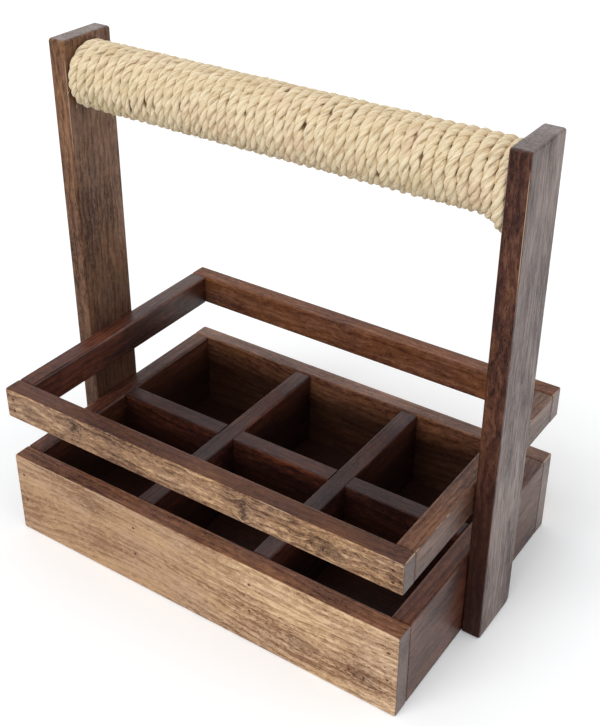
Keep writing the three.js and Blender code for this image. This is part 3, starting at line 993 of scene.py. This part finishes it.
strand_tree = make_strand_tree()
print("nodes in the strand tree:", len(strand_tree.nodes))

# %% [markdown]
# Sisal
# Sisal is pale straw-coloured leaf fibre, matt and hairy, with single fibres that are nearly white
# and others that are greenish or brown. The fibres run at a slant round each strand, so the noise
# for them reads the place on the strand that the tree has stored, and is stretched along it. Dust
# settles in the clefts, and a painted shade darkens them further the deeper they lie. Here and
# there two turns gape, and a painted shadow darkens the valley between them.

# %% Sisal finish
def read_attribute(tree, name, output):
    node = place(tree, "ShaderNodeAttribute", attribute_name=name, attribute_type="GEOMETRY")
    return node.outputs[output]


# Painted shadow in the valleys between turns, where here and there two turns gape.
def gap_shadows(tree, position):
    y, z = split(tree, position)[1:]
    from_bar = length_of(tree, join(tree, 0, y, minus(tree, z, bar_height)))
    valley = fade(tree, from_bar, outer_radius - 1.0 * millimetre, outer_radius - 2.2 * millimetre)
    return times(tree, valley, fade(tree, noise(tree, position, 160, 60), 0.60, 0.72))


def straw_colour(tree, fibres, bundles):
    position = object_position(tree)
    on_strand = read_attribute(tree, "strand_place", "Vector")
    depth = read_attribute(tree, "rope_depth", "Fac")
    tufts = noise(tree, on_strand, 70, 500)
    patches = noise(tree, position, 30, 30, 3)
    dust = fade(tree, noise(tree, on_strand, 150, 320), 0.52, 0.66)
    dust = times(tree, dust, fade(tree, depth, 1.0, 0.75))
    straw = mix(tree, fade(tree, fibres, 0.32, 0.66), colour(227, 203, 163), colour(255, 242, 212))
    straw = tinted(tree, straw, fade(tree, tufts, 0.52, 0.72), 0.6, colour(212, 181, 137))
    straw = tinted(tree, straw, fade(tree, patches, 0.55, 0.72), 0.4, colour(216, 202, 156))
    straw = tinted(tree, straw, fade(tree, patches, 0.44, 0.30), 0.4, colour(232, 198, 170))
    # Painted shadow where two turns gape.
    straw = mix(tree, gap_shadows(tree, position), straw, colour(124, 94, 60))
    straw = tinted(tree, straw, fade(tree, bundles, 0.50, 0.68), 0.45, colour(186, 152, 110))
    straw = tinted(tree, straw, dust, 0.6, colour(146, 110, 74))
    # Painted shade: the clefts darken the deeper they lie.
    return tinted(tree, straw, fade(tree, depth, 0.76, 0.45), 0.6, colour(160, 126, 88))


def make_sisal():
    material, tree, shader = start_material("sisal rope")
    on_strand = read_attribute(tree, "strand_place", "Vector")
    fibres = noise(tree, on_strand, 90, 2600, 3, 0.65)
    bundles = noise(tree, on_strand, 60, 1100, 2, 0.6)
    fill(tree, shader, {
        "Base Color": straw_colour(tree, fibres, bundles),
        "Roughness": 0.9,
        "Specular IOR Level": 0.25,
        "Normal": bend_surface(tree, times_plus(tree, bundles, 1.5, fibres), 0.8, 0.0006),
    })
    return material


sisal = make_sisal()
print("nodes in the sisal finish:", len(sisal.node_tree.nodes))


# %% Make the three strands
def input_key(tree, name):
    for item in tree.interface.items_tree:
        if item.item_type == "SOCKET" and item.in_out == "INPUT" and item.name == name:
            return item.identifier
    raise KeyError(name)


def shape_from(tree, source, name, values):
    modifier = source.modifiers.new(tree.name, "NODES")
    modifier.node_group = tree
    for label, value in values.items():
        modifier[input_key(tree, label)] = value
    graph = bpy.context.evaluated_depsgraph_get()
    mesh = bpy.data.meshes.new_from_object(source.evaluated_get(graph))
    source.modifiers.remove(modifier)
    mesh.name = name
    return add_object(name, mesh)


def line_object(points):
    curve = bpy.data.curves.new("rope line", "CURVE")
    curve.dimensions = "3D"
    spline = curve.splines.new("POLY")
    spline.points.add(len(points) - 1)
    for spot, point in zip(spline.points, points):
        spot.co = (*point, 1)
    return add_object("rope line", curve)


def make_strands():
    guide = line_object(line)
    strands = []
    for order, name in enumerate(("rope_strand_one", "rope_strand_two", "rope_strand_three")):
        values = {"Start angle": order * 2 * math.pi / 3, "Material": sisal}
        strand = shape_from(strand_tree, guide, name, values)
        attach(strand, "root")
        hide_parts("rope_winding")
        strands.append(strand)
    bpy.data.objects.remove(guide)
    return strands


strands = make_strands()
print("faces of a strand:", len(strands[0].data.polygons))

# %% [markdown]
# Stray fibres
# Sisal is never smooth: single stiff fibres spring out of the strands and lie loosely over the
# winding. They are made by scattering points on the outer side of a strand and setting a short
# bent fibre at each, roughly along the rope but at a random slant. About eight hundred on each
# strand are enough to break up the clean outline.

# %% Stray fibre tree
outer_side = 0.8
slant = 0.9
outward_lean = 0.35
shortest, longest = 0.4, 1.2


def make_fibre_tree():
    inputs = {
        "Geometry": geometry,
        "Density": 13000.0,
        "Fibre radius": 0.00009,
        "Fibre length": 0.0055,
        "Seed": 1,
        "Material": substance,
    }
    tree, given, result = start_group("Stray fibres", inputs, {"Geometry": geometry}, "GeometryNodeTree")
    depth = wire(tree, "GeometryNodeInputNamedAttribute", {"Name": "rope_depth"}, data_type="FLOAT")
    scatter = place(tree, "GeometryNodeDistributePointsOnFaces", {
        "Mesh": given["Geometry"],
        "Selection": compute(tree, "GREATER_THAN", depth, outer_side),
        "Density": given["Density"],
        "Seed": given["Seed"],
    })
    normal = scatter.outputs["Normal"]
    around = compute_vector(tree, "CROSS_PRODUCT", (1, 0, 0), normal)
    limits = {"Min": (-slant, -slant, -slant), "Max": (slant, slant, slant), "Seed": given["Seed"]}
    chance = wire(tree, "FunctionNodeRandomValue", limits, data_type="FLOAT_VECTOR")
    heading = compute_vector(tree, "ADD", around, chance)
    heading = compute_vector(tree, "ADD", heading, scaled(tree, normal, outward_lean))

    bow = {"Resolution": 4, "Start": (0, 0, -0.2), "Middle": (0.12, 0, 0.4), "End": (0, 0, 1)}
    fibre = wire(tree, "GeometryNodeCurveQuadraticBezier", bow)
    size = join(tree, given["Fibre length"], given["Fibre length"], given["Fibre length"])
    longer = wire(tree, "GeometryNodeTransform", {"Geometry": fibre, "Scale": size})
    limits = {2: shortest, 3: longest}
    size_chance = place(tree, "FunctionNodeRandomValue", limits, data_type="FLOAT")
    spread = wire(tree, "GeometryNodeInstanceOnPoints", {
        "Points": scatter.outputs["Points"],
        "Instance": sweep(tree, longer, circle(tree, 3, given["Fibre radius"])),
        "Rotation": wire(tree, "FunctionNodeAlignRotationToVector", {"Vector": heading}, axis="Z"),
        "Scale": size_chance.outputs[1],
    })
    finish_tree(tree, spread, given, result)
    return tree


fibre_tree = make_fibre_tree()
print("nodes in the fibre tree:", len(fibre_tree.nodes))


# %% Set the stray fibres
def make_fibre_finish():
    material, tree, shader = start_material("stray fibre")
    shade = noise(tree, object_position(tree), 220, 220, 1)
    tint = mix(tree, fade(tree, shade, 0.35, 0.65), colour(206, 178, 134), colour(250, 238, 212))
    fill(tree, shader, {"Base Color": tint, "Roughness": 0.8, "Specular IOR Level": 0.3})
    return material


def make_fibres():
    finish = make_fibre_finish()
    total = 0
    for order, strand in enumerate(strands):
        name = strand.name.replace("strand", "fibres")
        fibres = shape_from(fibre_tree, strand, name, {"Seed": order + 3, "Material": finish})
        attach(fibres, "root")
        total += len(fibres.data.polygons)
    return total


print("faces of the stray fibres:", make_fibres())

# %% [markdown]
# Floor, surroundings and lamps
# A studio photograph of this kind stands on a white sweep under soft light. A large plane takes
# the shadow. The world is white where the camera, a gloss or glass sees it, and dimmer as a source
# of light, so that the lamps can give the carrier its form. Broad suns light every point of the
# floor alike, where a panel would leave a bright patch.

# %% Floor and surroundings
floor_half = 4.0
floor_tone = 0.9
floor_lift = 0.13
floor_glow = (0.82, 0.92, 1, 1)
white = (1, 1, 1, 1)
world_strength = 0.62


def add_floor():
    corners = [(x * floor_half, y * floor_half, 0) for x, y in ((-1, -1), (1, -1), (1, 1), (-1, 1))]
    mesh = bpy.data.meshes.new("floor")
    mesh.from_pydata(corners, [], [(0, 1, 2, 3)])
    floor = add_object("floor", mesh)
    material, tree, shader = start_material("floor")
    seen = place(tree, "ShaderNodeLightPath").outputs["Is Camera Ray"]
    tone = (floor_tone, floor_tone, floor_tone, 1)
    fill(tree, shader, {
        "Base Color": mix(tree, seen, tone, white),
        "Roughness": 1.0,
        "Specular IOR Level": 0.0,
        "Emission Color": floor_glow,
        "Emission Strength": times(tree, seen, floor_lift),
    })
    mesh.materials.append(material)


def add_world():
    world = bpy.data.worlds.new("studio")
    bpy.context.scene.world = world
    world.use_nodes = True
    tree = world.node_tree
    tree.nodes.clear()
    path = place(tree, "ShaderNodeLightPath").outputs
    seen = compute(tree, "MAXIMUM", path["Is Camera Ray"], path["Is Glossy Ray"])
    seen = compute(tree, "MAXIMUM", seen, path["Is Transmission Ray"])
    level = times_plus(tree, seen, 1 - world_strength, world_strength)
    background = wire(tree, "ShaderNodeBackground", {"Color": white, "Strength": level})
    place(tree, "ShaderNodeOutputWorld", {"Surface": background})


add_floor()
add_world()
print("floor width in metres:", 2 * floor_half)


# %% Lamps
def add_lamp(name, comes_from, strength, spread):
    lamp = bpy.data.lights.new(name, "SUN")
    lamp.energy = strength
    lamp.angle = math.radians(spread)
    placed = add_object(name, lamp)
    placed.rotation_euler = Vector(comes_from).to_track_quat("Z", "Y").to_euler()


add_lamp("key lamp", comes_from=(-0.2, -0.8, 0.9), strength=1.35, spread=40)
add_lamp("fill lamp", comes_from=(0.9, 0.1, 0.5), strength=0.4, spread=60)
bpy.context.scene.view_settings.view_transform = "Standard"
print("lamps:", len(bpy.data.lights))
